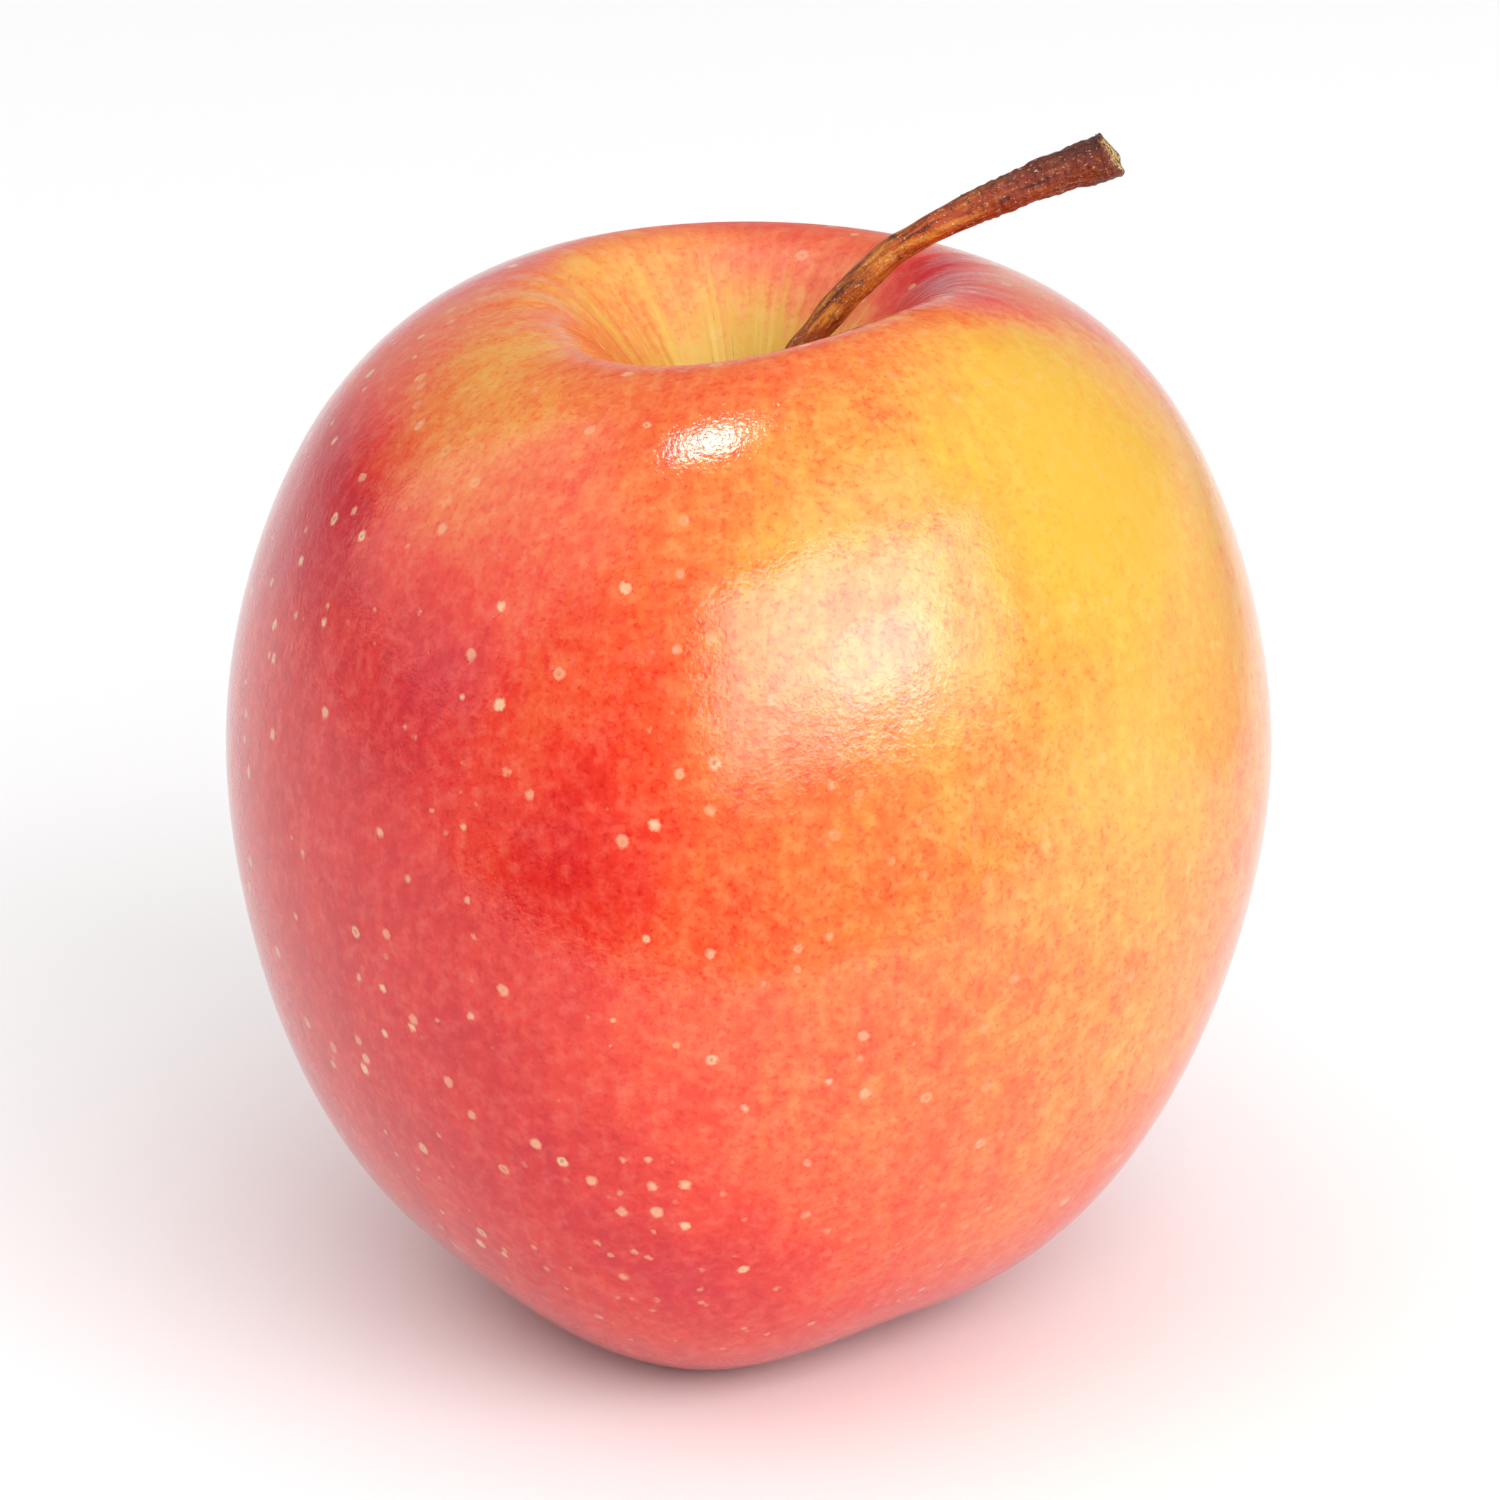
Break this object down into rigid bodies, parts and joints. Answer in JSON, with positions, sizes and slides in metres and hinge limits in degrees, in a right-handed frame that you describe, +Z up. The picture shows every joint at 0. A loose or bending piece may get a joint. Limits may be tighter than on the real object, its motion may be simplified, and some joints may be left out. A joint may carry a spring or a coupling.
{
  "type": "apple",
  "caption": "Whole fresh apple that stands on the knobs of its crown, with a woody stalk bending out of its cavity and a dried calyx underneath.",
  "frame": {"origin": "on the surface that the apple stands on, below the middle of its bounding box", "axes": "+Z up along the fruit's core, +X towards the side that the stalk leans to, -Y towards the side with the deepest knob"},
  "size_m": [0.0734, 0.0766, 0.0852],
  "materials": {
    "skin": "waxy apple skin, red over yellow, with pale lenticels",
    "stalk": "dry reddish brown bark, ridged, matte",
    "calyx": "dried brown sepals and stamens, matte"
  },
  "bodies": {
    "root": {"fruit": "skin", "stalk": "stalk", "calyx": "calyx"}
  },
  "joints": []
}
